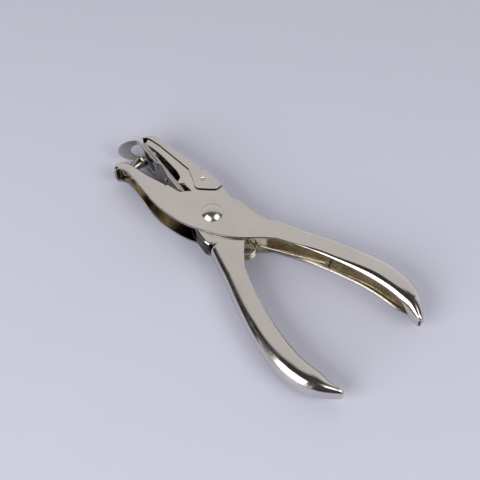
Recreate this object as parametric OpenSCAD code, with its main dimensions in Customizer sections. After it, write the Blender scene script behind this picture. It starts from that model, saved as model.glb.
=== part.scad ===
// Single hole punch of the plier kind, pressed from plated steel sheet.
// The frame: the origin lies on the pivot axis at the flat end of the lower rivet head, which is the
// lowest face of the tool as it lies on a table. +X runs to the handles, +Y to the handle of the
// punch lever, +Z up through the thickness of the tool. The levers stand open, as in the photograph.

/* [Size] */
// Distance from the pivot axis to the handle tip of the punch lever
handle_reach = 93.8; // [87:0.2:102]
// Distance from the middle line to the outermost point of that handle
handle_rise = 34.4; // [31:0.2:37]
// Distance from the pivot axis to the tip of the punch jaw
jaw_reach = 47.6; // [46:0.2:50]
// Outer width of the punch lever, measured through the thickness of the tool
body_w = 12.7; // [12.2:0.1:13.6]
// Outer width of the punch jaw, where its cheeks are set closer together
jaw_w = 10.5; // [10.1:0.1:12]
// Thickness of the sheet of both levers
sheet_t = 1.1; // [0.9:0.05:1.2]

/* [Handles] */
// Half width left at the drawn handle tips
tip_half = 3.4; // [2.8:0.1:4.2]
// Radius of the rounded back in the grip zone
grip_r = 5; // [3.5:0.1:5]
// Radius of the rounded back behind the crossing
neck_r = 2.6; // [1.6:0.1:3.2]
// Radius of the edge that is turned in along the open side
edge_r = 1.9; // [1.3:0.1:2.2]

/* [Pivot] */
// Shank diameter of the pivot rivet
shank_d = 5; // [4:0.1:5.4]
// Outer diameter of the spacer sleeve that the die lever turns on
sleeve_d = 6.8; // [6.4:0.1:7.4]
// Diameter of the domed rivet head
dome_d = 9; // [8:0.1:10]
// Height of the domed rivet head
dome_h = 2; // [1.4:0.1:2.6]
// Diameter of the flat head on the other side
foot_d = 8; // [7.4:0.1:9]
// Height of the flat head on the other side
foot_h = 0.8; // [0.6:0.05:1.2]

/* [Punch and die] */
// Cutting diameter of the punch
punch_d = 6.4; // [5.6:0.1:6.6]
// Distance of the punch axis from the tip of its jaw
tip_land = 4.3; // [4.1:0.1:4.8]
// Gap between the cutting edge and the die face when open
punch_gap = 2.8; // [2.6:0.1:3.2]
// How far the punch stands beyond the die plate when the jaws are shut
punch_over = 0.25; // [0.1:0.05:0.3]
// Radial clearance between the punch and the die
punch_clear = 0.3; // [0.25:0.01:0.35]
// Diameter of the neck of the punch above the lever
neck_d = 4.8; // [4:0.1:5.2]
// Diameter of the riveted tail of the punch
tail_d = 3.2; // [2.6:0.1:3.6]
// Outer diameter of the washer under the riveted tail
washer_d = 6.4; // [5.8:0.1:6.8]
// Thickness of the washer
washer_t = 0.8; // [0.6:0.05:1]
// Thickness of the die plate
die_t = 1.1; // [0.9:0.05:1.3]
// Outer diameter of the die ring
ring_d = 7.9; // [7.8:0.05:8]
// Depth of the die ring, measured from the die face
ring_l = 3.1; // [2.6:0.1:3.4]
// Height of the paper slot between the die plate and the stripper
slot_h = 1; // [0.8:0.05:1.2]
// Thickness of the stripper sheet
strip_t = 0.6; // [0.5:0.05:0.7]
// Width of the rounded stripper lip
lip_w = 14.2; // [13:0.1:15]
// Length of the stripper lip beyond its bend
lip_l = 9.6; // [8.5:0.1:10.5]
// Width of the slot in the stripper that the punch runs through
strip_slot_w = 9; // [8.6:0.1:9.6]

/* [Chip cover] */
// Thickness of the cover sheet
cover_t = 0.6; // [0.5:0.05:0.7]
// Gap between the cover flaps and the jaw cheeks
cover_gap = 0.12; // [0.1:0.01:0.2]
// Diameter of the pressed dimples that the cover swings on
dimple_d = 2.3; // [2:0.1:2.6]

/* [Spring] */
// Wire diameter of the return spring
wire_d = 1.1; // [0.9:0.05:1.2]
// Mean diameter of the spring coil
coil_d = 7.9; // [7.4:0.1:8.4]
// Distance of the coil from the pivot axis
coil_x = 18.6; // [17.8:0.1:19]
// Full turns in the coil, before the part turn that brings the legs out
coil_turns = 3; // [2:1:3]
// Distance from the middle of one turn to the next
coil_pitch = 1.6; // [1.56:0.02:1.7]

/* [Hidden] */
$fn = 64;
eps = 0.01;
half_a = body_w / 2;
side_gap = 0.2;
half_b = half_a - sheet_t - side_gap;
inner_a = half_a - sheet_t;
inner_b = half_b - sheet_t;
mid_z = foot_h + half_a;
run_fit = 0.05;
// Clearance of riveted shanks in their holes.
stake_fit = 0.03;
far = 60;
steps = 6;
// Shades close to the plated steel
plate_col = [0.70, 0.68, 0.65];
dark_col = [0.46, 0.45, 0.44];

// Smooth curve that passes through every point of a short list, with n steps from each to the next.
function between(a, b, c, d, t) = 0.5 * ((2 * b) + (c - a) * t + (2 * a - 5 * b + 4 * c - d) * t * t
    + (3 * b - a - 3 * c + d) * t * t * t);
function smooth(p, n) = let (m = len(p) - 1) concat([for (i = [0:m - 1]) for (k = [0:n - 1])
    between(i == 0 ? 2 * p[0] - p[1] : p[i - 1], p[i], p[i + 1],
        i + 2 > m ? 2 * p[m] - p[m - 1] : p[i + 2], k / n)], [p[m]]);
// Line that keeps the distance d to the left of an open line of points.
function beside(p, d) = [for (i = [0:len(p) - 1]) let (v = p[min(i + 1, len(p) - 1)] - p[max(i - 1, 0)])
    p[i] + d * [-v.y, v.x] / norm(v)];
function back(p) = [for (i = [len(p) - 1:-1:0]) p[i]];
function flip(p) = [for (q = p) [q.x, -q.y]];
function on_arc(r, a) = r * [cos(a), sin(a)];
function unit(v) = v / norm(v);
function clamp(v) = min(1, max(0, v));

// The handles in plan: outer and inner line of each, as parts of the reach and the rise. The handle of the
// punch lever is the larger one. That of the die lever is drawn on the same side and mirrored later.
sx = handle_reach / 93.8;
sy = handle_rise / 34.4;
function handle_line(p) = smooth([for (q = p) [q.x * sx, q.y * sy]], steps);
out_a = handle_line([[23.8, 17.3], [38, 23.8], [54, 30.2], [69.8, 34.4], [84.4, 32.2], [93.8, 23.4]]);
in_a = handle_line([[27.4, 9.2], [41, 15.1], [56, 19.9], [69, 22.6], [80.6, 23.2], [91, 21.7]]);
out_b = handle_line([[23.8, 17.3], [38, 23.8], [54, 29.9], [70, 33], [82.6, 30.4], [92, 22.6]]);
in_b = handle_line([[27.4, 9.2], [41, 15.1], [56, 19.9], [69, 22.6], [80, 23], [89.1, 21.8]]);

punch_x = jaw_reach - tip_land;

// The die face in plan: a line that leaves the pivot side at die_root and climbs by die_deg.
die_deg = 10.6;
die_root = [-17, -1];
die_dir = [-cos(die_deg), sin(die_deg)];
die_up = [sin(die_deg), cos(die_deg)];
function on_die(s, h) = die_root + s * die_dir + h * die_up;
die_y = die_root.y + (punch_x + die_root.x) * tan(die_deg);
die_start = -9;

// The jaw of the punch lever: throat line, rounded tip and open outer line.
throat_deg = 8.3;
throat_root = [-17.7, -2.5];
function throat(x) = [x, throat_root.y + (x - throat_root.x) * tan(throat_deg)];
// The round tip starts here, and its points are counted from here.
nose = throat(-jaw_reach + 5.6);
throat_line = [throat_root, throat(-30), nose];
tip_line = smooth([nose, nose + [-2.8, -0.75], nose + [-4.7, -2.1], nose + [-5.6, -3.9], nose + [-5.4, -5.7],
    nose + [-4.5, -7]], 4);
web_start = -23;
// Seen from the side, the jaw cheeks step inwards over this stretch, from the body to the narrower jaw.
set_start = -25;
set_l = 9;
set_steps = 8;
function set_half(t) = jaw_w / 2 + (half_a - jaw_w / 2) * t * t * (3 - 2 * t);
set_line = concat([[-far, jaw_w / 2]], [for (k = [0:set_steps]) [set_start - set_l * (1 - k / set_steps),
    set_half(k / set_steps)]], [[far * 2, half_a]]);
// All that lies between the outer faces of the punch lever, less w on either side.
module between_faces(w) rotate([90, 0, 0]) linear_extrude(2 * far, center = true)
    polygon(concat([for (q = set_line) [q.x, q.y - w]], [for (q = back(set_line)) [q.x, w - q.y]]));

// Punch and die on one line: the punch keeps to x = -punch_x and points along +Y.
tip_y = die_y - punch_gap;
base_y = throat(-punch_x).y;
// The jaws close through shut_deg. The die hole is centred for the middle of the cut.
shut_deg = asin((punch_gap + die_t + punch_over) / punch_x);
pass_deg = (asin(punch_gap / punch_x) + shut_deg) / 2;
hole_c = [-punch_x * cos(pass_deg) + tip_y * sin(pass_deg),
    punch_x * sin(pass_deg) + tip_y * cos(pass_deg)];
hole_s = (hole_c - die_root) * die_dir;
bore_r = punch_d / 2 + punch_clear;
die_end = hole_s + 3.35;
// The end of the die face, from which the tip of the die jaw and of its cover is counted.
die_tip = on_die(die_end, 0);

// Chip cover hinge, on the jaw cheeks of the die lever.
hinge = [-15, 9.1];

module mid() translate([0, 0, mid_z]) children();
module slab(points, half) translate([0, 0, -half]) linear_extrude(2 * half) polygon(points);
// Places its children with local x along the jaw, local y out of the die face, at the distance s.
module at_die(s) translate([on_die(s, 0).x, on_die(s, 0).y, 0]) rotate([0, 0, 180 - die_deg])
    mirror([0, 1, 0]) children();

// One drawn handle: a shell with a round back, turned-in edges and a tip that narrows like a bow.
arc_n = 4;
// The shell stays this much inside the plates where the two run into each other.
tuck = 0.03;
function half_at(u, half) = half - (half - tip_half) * pow(clamp((u - 0.72) / 0.28), 1.8);
r_min = sheet_t + 0.25;
function roll_at(u, b) = min(r_min + (edge_r - r_min) * clamp(u / 0.25), max(r_min, b * 0.3));
function back_at(u, b, h) = min(r_min + (neck_r - r_min) * clamp(u / 0.12)
    + (grip_r - neck_r) * pow(clamp((u - 0.3) / 0.4), 1.5), h - 0.1, b - roll_at(u, b) - 0.1);
// Half section from the open edge to the back, inset by w: distance from the back line, and height.
function half_section(b, h, rb, rx, re, w) = concat(
    [for (k = [0:arc_n]) [b - re, h - re] + on_arc(re - w, 90 * k / arc_n)],
    [for (k = [0:arc_n]) let (a = 90 + 90 * k / arc_n) [rx + (rx - w) * cos(a), h - rb + (rb - w) * sin(a)]]);
function section(b, h, rb, rx, re, w) = let (s = half_section(b, h, rb, rx, re, w))
    concat(s, [for (q = back(s)) [q.x, -q.y]]);
// How far the rounding of the back reaches into the flat: in the grip zone nearly to the open edge.
function reach_at(u, b, rb) = rb + max(0, b - roll_at(u, b) - 0.4 - rb) * pow(clamp((u - 0.28) / 0.34), 1.2);
function ring_at(outer, inner, i, half) = let (m = len(outer) - 1, u = i / m, v = inner[i] - outer[i],
    d = unit(v), b = norm(v) - 2 * tuck, h = half_at(u, half) - tuck, rb = back_at(u, b, h), re = roll_at(u, b),
    rx = reach_at(u, b, rb),
    s = concat(section(b, h, rb, rx, re, 0), back(section(b, h, rb, rx, re, sheet_t - 2 * tuck))))
    [for (q = s) [outer[i].x + d.x * (q.x + tuck), outer[i].y + d.y * (q.x + tuck), q.y]];
module handle_shell(outer, inner, half) {
    m = len(outer) - 1;
    rings = [for (i = [0:m]) ring_at(outer, inner, i, half)];
    n = len(rings[0]);
    k = n / 2;
    skin = [for (i = [0:m - 1]) for (j = [0:n - 1]) let (a = i * n + j, b = i * n + (j + 1) % n)
        each [[a, b, b + n], [a, b + n, a + n]]];
    ends = [for (j = [0:k - 2]) each [[j + 1, j, n - 1 - j], [j + 1, n - 1 - j, n - 2 - j]]];
    last = [for (f = ends) [f[2] + m * n, f[1] + m * n, f[0] + m * n]];
    polyhedron(points = [for (r = rings) each r], faces = concat(skin, ends, last));
}

// The flat plates end half a step along the handle, within the shell.
function joint(line) = (line[0] + line[1]) / 2;

// Outline of the punch lever from handle to jaw, back along the open side.
lever_a = concat(
    [joint(out_a)], smooth([out_a[0], [21, 15.6], [18.4, 13.9], [15.4, 12.5], [10.5, 12.2], [5.4, 12],
        [0.8, 10.9], [-4, 8.7]], 4),
    [[-9.6, 4.7], [-14.6, 0.6], [-16, -1.5]], throat_line, [for (i = [1:len(tip_line) - 1]) tip_line[i]],
    smooth([nose + [-3.6, -6.4], nose + [-3.1, -4.9], nose + [-0.7, -4.15], nose + [2.6, -4.15],
        nose + [7.2, -4.75], [-30.3, -11.6], [-26, -12.7], [-20, -13.4], [-14.5, -13.4], [-8.5, -12.7],
        [-1.9, -11], [7.8, -6.5], [12.9, -3.6], [17.8, 0.4], [22.9, 5.4], in_a[0]], 4), [joint(in_a)]);
// What is taken out between the cheeks of the punch lever: all but the webs.
web_line = concat([throat(web_start), throat(-30)], tip_line);
web_a = beside(web_line, sheet_t);
neck_a = beside([out_a[2], out_a[1], out_a[0], [21, 15.4], [18.4, 13.8]], sheet_t);
pocket_a = concat([[web_start, far]], web_a, [[nose.x - 4.5, -far], [far, -far], in_a[2] + [3, -1]],
    neck_a, [[18.4, far]]);

module punch_lever() color(plate_col) mid() difference() {
    union() {
        handle_shell(out_a, in_a, half_a);
        difference() {
            intersection() {
                slab(lever_a, body_w);
                between_faces(0);
            }
            intersection() {
                slab(pocket_a, body_w);
                between_faces(sheet_t);
            }
        }
    }
    cylinder(d = shank_d + 2 * stake_fit, h = far, center = true);
    tail(tail_d / 2 + stake_fit, 12);
}

// The punch: flared cutting end with a hollow face, narrow neck, tail riveted inside the jaw.
module tail(r, l) translate([-punch_x, base_y + 1, 0]) rotate([90, 0, 0]) cylinder(r = r, h = l + 1);
// All that lies deeper in the jaw than d below the outer face of its web.
module under(d, half) slab(concat(beside(web_line, d), [[nose.x - 4.5, -30], [web_start, -30]]), half);
seat = sheet_t + washer_t;
tail_h = 1;
head_r = 3.1;
module punch_pin() color(plate_col) mid() {
    stem = tip_y - base_y;
    difference() {
        translate([-punch_x, base_y, 0]) rotate([-90, 0, 0]) rotate_extrude() polygon(concat(
            [[0, -seat - 0.5], [neck_d / 2, -seat - 0.5]],
            smooth([[neck_d / 2, 1.3], [neck_d / 2 + 0.1, 3], [punch_d / 2 - 0.15, 5.4],
                [punch_d / 2, stem - 1.6]], 5), [[punch_d / 2, stem], [0, stem - 0.9]]));
        difference() {
            under(0, 8);
            tail(tail_d / 2, 12);
        }
    }
    intersection() {
        translate([-punch_x, base_y, 0]) rotate([0, 0, throat_deg]) translate([0, head_r - seat - tail_h, 0])
            sphere(r = head_r);
        under(seat, 8);
    }
}

// The washer is bent to the inside of the jaw, and the tail is riveted over it.
module punch_washer() color(dark_col) mid() difference() {
    intersection() {
        tail(washer_d / 2, seat + 1.4);
        under(sheet_t, 8);
    }
    under(seat, 9);
    tail(tail_d / 2 + stake_fit, 12);
}

// The pivot: domed head on top, shank, flat head below.
module pivot_rivet() color(plate_col) {
    dome_r = (dome_d * dome_d / 4 + dome_h * dome_h) / (2 * dome_h);
    cylinder(d1 = foot_d - 0.6, d2 = foot_d, h = 0.3);
    translate([0, 0, 0.3]) cylinder(d = foot_d, h = foot_h - 0.3);
    cylinder(d = shank_d, h = foot_h + body_w + 0.2);
    intersection() {
        translate([0, 0, foot_h + body_w + dome_h - dome_r]) sphere(r = dome_r);
        translate([0, 0, foot_h + body_w]) cylinder(d = dome_d + 2, h = dome_h + 1);
    }
}

module pivot_sleeve() color(dark_col) mid() difference() {
    cylinder(d = sleeve_d, h = 2 * inner_a, center = true);
    cylinder(d = shank_d + 2 * stake_fit, h = far, center = true);
}

// Outline of the die lever cheeks. The die plate closes their throat side, and a bulging bridge joins
// them under the crossing. A notch parts it from the back of the handle.
bridge = smooth([[-0.3, -10], [2.5, -10.9], [6.6, -11.8], [9.6, -11.7]], 3);
notch = [[9.6, -14], [10.9, -14], [10.9, -10.4], [10.3, -9.9], [9.6, -10.3]];
cheek_out = [[-0.3, 11.3], [-5, 12.3], [-11.4, 12.4], [-25.5, 11.6], die_tip + [7, 5.9]];
lever_b = concat(
    flip([joint(out_b), out_b[0], [17, 14.7], [10.6, 12]]), back(bridge), [[-4.5, -8], [-8.3, -4]],
    [on_die(die_start - 0.5, die_t), on_die(die_start + 4, die_t)],
    smooth([on_die(-2.2, 3.4), on_die(0, 3.1), on_die(2.6, 2.7)], 3), [on_die(3.6, die_t), on_die(5, die_t)],
    smooth([on_die(5.7, 3.2), on_die(9, 3.9), on_die(15, 3.6), on_die(die_end - 8, 2.8),
        on_die(die_end - 2.6, 1.5)], 3), [on_die(die_end - 2.4, die_t), on_die(die_end - 0.4, die_t)],
    smooth([die_tip + [-0.5, 1.4], die_tip + [-0.4, 3.1], die_tip + [1.5, 5.3], cheek_out[4]], 3),
    [for (i = [3:-1:0]) cheek_out[i]],
    smooth([[6, 8.4], [12, 4.8], [17.8, 0.4], [22.4, -4.4], flip(in_b)[0]], 3), flip([joint(in_b)]));
neck_b = flip(beside([out_b[2], out_b[1], out_b[0], [17, 14.7], [10.6, 12]], sheet_t));
pocket_b = concat([[10.6, -far]], back(neck_b), [flip([in_b[2] + [3, -1]])[0], [far, far], [-far, far],
    [-far, -far]]);
bridge_half = inner_b + 0.5;

module die_lever() color(plate_col) mid() difference() {
    union() {
        mirror([0, 1, 0]) handle_shell(out_b, in_b, half_b);
        difference() {
            slab(lever_b, half_b);
            slab(pocket_b, inner_b);
        }
        slab(concat(bridge, back(beside(bridge, sheet_t))), bridge_half);
    }
    slab(notch, body_w);
    cylinder(d = sleeve_d + 2 * run_fit, h = far, center = true);
    translate([hinge.x, hinge.y, 0]) cylinder(d = dimple_d + 2 * run_fit, h = far, center = true);
}

// The plate that carries the die, set on edge between the jaws.
module at_hole() at_die(hole_s) rotate([-90, 0, 0]) children();
module die_plate() color(plate_col) mid() difference() {
    slab([on_die(die_start, 0), on_die(die_end, 0), on_die(die_end, die_t), on_die(die_start, die_t)], half_b);
    at_hole() cylinder(d = ring_d, h = far, center = true);
    stripper_holes();
}

module die_ring() color(dark_col) mid() at_hole() difference() {
    cylinder(d = ring_d, h = ring_l);
    translate([0, 0, -1]) cylinder(r = bore_r, h = ring_l + 2);
    translate([0, 0, 1.4]) cylinder(r1 = bore_r, r2 = bore_r + 0.3, h = ring_l - 1.4 + eps);
}

// The stripper: flat on the die face, a step that stops the paper, the slot, and the flared lip.
step_s = hole_s - 9.35;
bend_s = die_end + 1.6;
lip_deg = 61;
lift = slot_h + strip_t;
lip_dir = cos(lip_deg) * die_dir - sin(lip_deg) * die_up;
bend_p = on_die(bend_s, -lift);
strip_face = concat([on_die(1.2, -strip_t), on_die(step_s - 1.2, -strip_t), on_die(step_s, -lift)],
    [bend_p, bend_p + lip_l * lip_dir]);
strip_back = concat([on_die(1.2, 0), on_die(step_s - 1, 0), on_die(step_s + 0.2, -slot_h)],
    [on_die(bend_s + 0.35, -slot_h), bend_p + lip_l * lip_dir + strip_t * [-lip_dir.y, lip_dir.x]
        * -1]);
root_half = inner_a - side_gap;
rivet_s = [4.2, 11.5];
rivet_d = 1.8;
module stripper_holes() for (s = rivet_s) at_die(s) rotate([90, 0, 0])
    cylinder(d = rivet_d, h = 8, center = true);
module stripper_plate() color(plate_col) mid() difference() {
    intersection() {
        slab(concat(strip_face, back(strip_back)), lip_w / 2);
        union() {
            at_die(0) rotate([90, 0, 0]) translate([0, 0, -6]) linear_extrude(12)
                polygon([[0, -root_half], [step_s - 7, -root_half], [step_s + 1, -lip_w / 2],
                    [bend_s + 0.2, -lip_w / 2], [bend_s + 0.2, lip_w / 2], [step_s + 1, lip_w / 2],
                    [step_s - 7, root_half], [0, root_half]]);
            at_lip(lip_l - lip_w / 2) cylinder(d = lip_w, h = 6, center = true);
            at_lip((lip_l - lip_w / 2) / 2) cube([lip_l - lip_w / 2, lip_w, 6], center = true);
        }
    }
    at_die(0) rotate([90, 0, 0]) translate([0, 0, -6]) linear_extrude(12)
        polygon([[step_s + 2.4, -strip_slot_w / 2 + 1.5], [step_s + 3.9, -strip_slot_w / 2],
            [bend_s + 1, -strip_slot_w / 2], [bend_s + 1, strip_slot_w / 2],
            [step_s + 3.9, strip_slot_w / 2], [step_s + 2.4, strip_slot_w / 2 - 1.5]]);
    at_lip(-0.5) cylinder(d = strip_slot_w, h = 3, center = true);
    stripper_holes();
}
// Places its children on the lip, local x away from the bend, local z across the sheet.
module at_lip(d) translate([(bend_p + d * lip_dir).x, (bend_p + d * lip_dir).y, 0])
    rotate([0, 0, atan2(lip_dir.y, lip_dir.x)]) rotate([90, 0, 0]) children();

module stripper_rivets() color(plate_col) mid() for (s = rivet_s) {
    at_die(s) rotate([90, 0, 0]) translate([0, 0, -die_t]) cylinder(d = rivet_d, h = die_t + strip_t);
    at_die(s) rotate([90, 0, 0]) translate([0, 0, strip_t]) cylinder(d1 = 2.8, d2 = 1.8, h = 0.5);
    at_die(s) rotate([-90, 0, 0]) translate([0, 0, die_t]) cylinder(d1 = 2.8, d2 = 2, h = 0.5);
}

// The chip cover: a folded sheet over the back and the tip of the die jaw.
cover_in = half_b + cover_gap;
cover_half = cover_in + cover_t;
cover_line = smooth([[-6.8, 12.9], [-11.4, 13.4], [-25.5, 12.6], die_tip + [7, 7], die_tip + [0.9, 6.5],
    die_tip + [-1.5, 4.1], die_tip + [-2.1, 1.7]], 4);
cover_edge = [die_tip + [-0.7, 3.1], die_tip + [0.7, 3.6], die_tip + [5.7, 4.2], [-22.8, 8.7], [-17.4, 6],
    [-15.2, 4.6], [-13.7, 4.3], [-12.4, 5], [-7.8, 9], [-7, 10.4]];
// The back of the cover ends this far before the hinge, so that it can swing out.
band_end = hinge.x - 3;
cover_back = [for (p = cover_line) if (p.x < band_end && p.y > die_tip.y + 2.5) p];
module chip_cover() color(plate_col) mid() {
    difference() {
        slab(concat(cover_line, cover_edge), cover_half);
        slab(concat([[0, 20], [cover_back[0].x, 20]], beside(cover_back, cover_t),
            [die_tip + [-1.4, 1.7], die_tip + [-0.5, -8], [0, -3]]), cover_in);
    }
    for (s = [-1, 1]) translate([hinge.x, hinge.y, s * (cover_in - (cover_gap + 0.6) / 2)])
        cylinder(d = dimple_d, h = cover_gap + 0.6 + 2 * eps, center = true);
}

// The return spring: leg, coil and leg as one wire, a hooked end on each leg.
coil_r = coil_d / 2;
leg_deg = 27;
leg_l = 34;
seat_gap = 0.3;
turn_deg = 360 * coil_turns + 180 - 2 * leg_deg;
rise = coil_pitch * turn_deg / 360;
wire_sides = 6;
coil_steps = ceil(turn_deg / 45);
function coil_pt(a) = [coil_x + coil_r * cos(a), coil_r * sin(a), -rise / 2 + rise * (a - 90 - leg_deg) / turn_deg];
a0 = 90 + leg_deg;
leg_dir = [cos(leg_deg), sin(leg_deg), 0];
leg_a = coil_pt(a0) + leg_l * leg_dir;
// The hook stands square to the back of the handle and ends seat_gap short of it.
hook_at = out_b[9];
hook_dir = unit([out_b[8].y - out_b[10].y, out_b[10].x - out_b[8].x, 0]);
hook_l = ([hook_at.x, hook_at.y, leg_a.z] - leg_a) * hook_dir - sheet_t - seat_gap;
wire_half = [leg_a + hook_l * hook_dir, leg_a + 0.9 * hook_dir, leg_a - 0.9 * leg_dir];
wire_path = concat(wire_half, [for (k = [0:coil_steps]) coil_pt(a0 + turn_deg * k / coil_steps)],
    [for (p = back(wire_half)) [p.x, -p.y, -p.z]]);
wire_tan = [for (i = [0:len(wire_path) - 1])
    unit(wire_path[min(i + 1, len(wire_path) - 1)] - wire_path[max(i - 1, 0)])];
module return_spring() color(dark_col) mid() {
    n = len(wire_path) - 1;
    pts = [for (i = [0:n]) let (t = wire_tan[i], s = unit(cross([0, 0, 1], t)), w = cross(t, s))
        for (j = [0:wire_sides - 1]) wire_path[i] + wire_d / 2 * (cos(60 * j) * s + sin(60 * j) * w)];
    skin = [for (i = [0:n - 1]) for (j = [0:wire_sides - 1]) let (a = i * wire_sides + j,
        b = i * wire_sides + (j + 1) % wire_sides) each [[a, b + wire_sides, b], [a, a + wire_sides, b + wire_sides]]];
    polyhedron(points = pts, faces = concat(skin, [[for (j = [0:wire_sides - 1]) j]],
        [[for (j = [wire_sides - 1:-1:0]) n * wire_sides + j]]));
}
// Least gap of the wire to itself, from points half a turn or more apart along the wire.
apart = [for (i = [0:len(wire_path) - 1]) for (j = [i + 5:1:len(wire_path) - 1]) norm(wire_path[i] - wire_path[j])];
echo(wire_gap = min(apart) - wire_d, spring_height = rise + wire_d, hook = hook_l, shut = shut_deg);

punch_lever();
punch_pin();
punch_washer();
pivot_rivet();
pivot_sleeve();
die_lever();
die_plate();
die_ring();
stripper_plate();
stripper_rivets();
chip_cover();
return_spring();
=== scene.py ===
# %% [markdown]
# # A plier hole punch of plated steel sheet
# The tool is made of two crossing levers. Each one is a flat blank of steel that a press folds into a
# channel, so each one is made here in the same order: cut the blank, fold it, give it its thickness,
# and break its edges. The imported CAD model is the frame: it fixes where everything is, and how it
# moves.

import math

import bpy
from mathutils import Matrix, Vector


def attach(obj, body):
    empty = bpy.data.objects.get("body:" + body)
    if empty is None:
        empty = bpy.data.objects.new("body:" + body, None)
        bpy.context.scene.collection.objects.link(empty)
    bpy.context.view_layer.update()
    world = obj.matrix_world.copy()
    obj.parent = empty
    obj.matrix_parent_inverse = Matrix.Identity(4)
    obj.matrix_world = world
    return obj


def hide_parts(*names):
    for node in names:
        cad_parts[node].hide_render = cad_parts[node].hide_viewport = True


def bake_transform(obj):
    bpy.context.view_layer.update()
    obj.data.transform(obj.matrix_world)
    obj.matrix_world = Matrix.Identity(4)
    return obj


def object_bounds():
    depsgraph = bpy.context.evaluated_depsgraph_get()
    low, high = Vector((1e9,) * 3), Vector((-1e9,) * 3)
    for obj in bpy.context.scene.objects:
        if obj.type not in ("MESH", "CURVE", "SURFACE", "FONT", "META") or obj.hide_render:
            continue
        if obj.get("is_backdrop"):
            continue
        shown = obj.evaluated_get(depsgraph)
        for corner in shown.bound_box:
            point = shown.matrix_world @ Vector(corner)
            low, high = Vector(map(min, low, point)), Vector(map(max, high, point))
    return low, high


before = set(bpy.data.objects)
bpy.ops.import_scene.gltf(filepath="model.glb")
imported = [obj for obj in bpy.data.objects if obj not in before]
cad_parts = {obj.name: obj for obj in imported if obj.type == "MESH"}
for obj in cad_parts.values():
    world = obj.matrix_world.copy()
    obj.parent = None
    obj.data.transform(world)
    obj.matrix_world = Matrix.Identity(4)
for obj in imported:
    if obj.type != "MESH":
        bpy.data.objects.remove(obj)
frame_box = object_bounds()
MM = 0.001
print("CAD nodes:", sorted(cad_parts))

# %% [markdown]
# ## Sizes
# All lengths are written in millimetres, as on a workshop drawing, and turned into metres only when a
# point is placed. Most of them repeat the values of the part's source, because a scene can't read that
# file. The round backs and the rolled edges of the grips are larger than in the solids, as a closer
# look at the streaks that they mirror has shown.

# %% Sizes of the tool
MID_Z = 7.15          # height of the middle plane over the table
HALF_A = 6.35         # half the width of the punch lever
HALF_JAW = 5.25       # half the width of its jaw, where the cheeks are set closer together
HALF_B = 5.05         # half the width of the die lever, which runs inside the other
SHEET = 1.1           # gauge of the lever sheet
TIP_HALF = 3.4        # half the width that is left at the drawn handle tips
GRIP_R = 5.0          # round back in the grip zone
NECK_R = 3.6          # round back behind the crossing
ROLL_R = 1.9          # edge that is turned in along the open side
GRIP_ROLL = 4.2       # and in the grip zone
TIGHT_R = SHEET + 0.25  # the tightest bend that the sheet takes
JAW_BEND = 1.7        # bend between the jaw's cheeks and its throat
BRIDGE_BEND = 1.3     # bend of the bridge under the crossing
NECK_B = 3.1          # bend of the die lever's back, straight behind its bridge
print("the levers are", 2 * HALF_A, "and", 2 * HALF_B, "mm wide, of", SHEET, "mm sheet")

# %% [markdown]
# ## Lines through points
# The outlines are drawn with few points and a curve that passes through each of them. It bends as a
# thin steel rule would, held by pins on a drawing board. A second helper walks such a line in even
# steps.

# %% Line helpers
def ruled(points, steps=12):
    """Smooth line through all the points, with so many steps from one to the next."""
    pts = [Vector(p) for p in points]
    pts = [2 * pts[0] - pts[1]] + pts + [2 * pts[-1] - pts[-2]]
    line = []
    for a, b, c, d in zip(pts, pts[1:], pts[2:], pts[3:]):
        for k in range(steps):
            t = k / steps
            line.append(0.5 * (2 * b + (c - a) * t + (2 * a - 5 * b + 4 * c - d) * t * t
                               + (3 * b - a - 3 * c + d) * t ** 3))
    return line + [pts[-2]]


def paced(line, count):
    """The line again, as count even paces."""
    line = [Vector(p) for p in line]
    run = [0.0]
    for a, b in zip(line, line[1:]):
        run.append(run[-1] + (b - a).length)
    out, k = [], 0
    for i in range(count + 1):
        goal = run[-1] * i / count
        while k < len(line) - 2 and run[k + 1] < goal:
            k += 1
        share = (goal - run[k]) / max(run[k + 1] - run[k], 1e-9)
        out.append(line[k].lerp(line[k + 1], min(1.0, share)))
    return out


def ease(x, start, end):
    """0 before start, 1 after end, and a soft step between."""
    t = min(1.0, max(0.0, (x - start) / (end - start)))
    return t * t * (3 - 2 * t)


# %% [markdown]
# ## The handle lines
# Each handle has two lines: the round back, and the open inner side that the fingers close on. The
# handle of the punch lever is the larger one. That of the die lever is drawn on the same side and
# mirrored later. Six points are enough for each, because a press tool for a handle has long, even
# curves too.

# %% Handle lines
OUT_A = [(23.8, 17.3), (38, 23.8), (54, 30.2), (69.8, 34.4), (84.4, 32.2), (93.8, 23.4)]
IN_A = [(27.4, 9.2), (41, 15.1), (56, 19.9), (69, 22.6), (80.6, 23.2), (91, 21.7)]
OUT_B = [(23.8, 17.3), (38, 23.8), (54, 29.5), (69.3, 32.1), (81.6, 29.3), (91.3, 21.4)]
IN_B = [(27.4, 9.2), (41, 15.1), (56, 19.6), (68.8, 21.7), (79.4, 21.3), (88.7, 19.9)]
# The hooks of the spring are measured from this line, a little further out than the back of the sheet.
HOOK_B = [(23.8, 17.3), (38, 23.8), (54, 29.9), (70, 33), (82.6, 30.4), (92, 22.6)]
print("handle tips at", OUT_A[-1], "and", (OUT_B[-1][0], -OUT_B[-1][1]), "mm")

# %% [markdown]
# ## The jaws
# Two slanting lines set out the jaws. The die line carries the die plate, the stripper and the cover,
# and the throat line is the inner face of the punch's jaw. The hole lies where the punch arrives as the
# levers turn, so it is worked out from the turn, halfway between first touch and full squeeze.

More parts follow.
